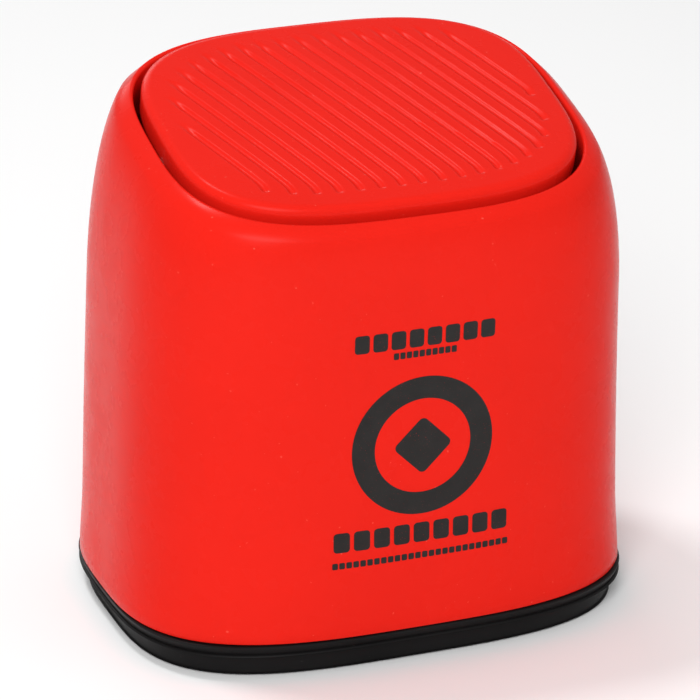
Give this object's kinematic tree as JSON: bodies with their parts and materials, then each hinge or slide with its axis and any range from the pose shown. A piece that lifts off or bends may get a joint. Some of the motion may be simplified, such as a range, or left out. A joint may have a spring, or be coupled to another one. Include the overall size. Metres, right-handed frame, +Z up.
{
  "type": "benchtop laboratory waste bin",
  "caption": "Benchtop laboratory waste bin: lift-off cover with a sloping swing lid, over a base that holds a removable bucket and a bag ring.",
  "frame": {"origin": "on the bench, under the middle of the bin's outer box", "axes": "+Z up, -Y towards the printed front, which is the low side of the sloping top, +X to the right seen from the front, along the lid's pivot"},
  "size_m": [0.17, 0.1334, 0.1781],
  "materials": {
    "red_plastic": "semi-gloss moulded red plastic",
    "black_plastic": "satin moulded black plastic",
    "grey_plastic": "satin moulded grey plastic",
    "black_rubber": "matt",
    "white_acetal": "smooth low-friction plastic",
    "steel": "plain bright steel"
  },
  "bodies": {
    "base": {"base_tray": "black_plastic", "foot_front_left": "black_rubber", "foot_front_right": "black_rubber", "foot_rear_left": "black_rubber", "foot_rear_right": "black_rubber", "cover_clip_left": "steel", "cover_clip_right": "steel"},
    "cover": {"cover_shell": "red_plastic", "pivot_bush_left": "white_acetal", "pivot_bush_right": "white_acetal"},
    "lid": {"lid_panel": "red_plastic", "lid_bracket": "black_plastic", "bracket_screw_front_left": "steel", "bracket_screw_front_right": "steel", "bracket_screw_rear_left": "steel", "bracket_screw_rear_right": "steel", "pivot_pin_left": "steel", "pivot_pin_right": "steel", "counterweight": "steel", "counterweight_screw_left": "steel", "counterweight_screw_right": "steel"},
    "bucket": {"inner_bucket": "grey_plastic"},
    "ring": {"bag_ring": "black_plastic"}
  },
  "joints": [
    {"name": "cover_lift", "type": "slide", "parent": "base", "child": "cover", "axis": [0, 0, 1], "range_m": [0, 0.12]},
    {"name": "lid_swing", "type": "hinge", "parent": "cover", "child": "lid", "pos_m": [0, -0.00568, 0.1533], "axis": [1, 0, 0], "range_deg": [-45, 45]},
    {"name": "bucket_lift", "type": "slide", "parent": "base", "child": "bucket", "axis": [0, 0, 1], "range_m": [0, 0.008]},
    {"name": "ring_lift", "type": "slide", "parent": "bucket", "child": "ring", "axis": [0, 0, 1], "range_m": [0, 0.004]}
  ]
}
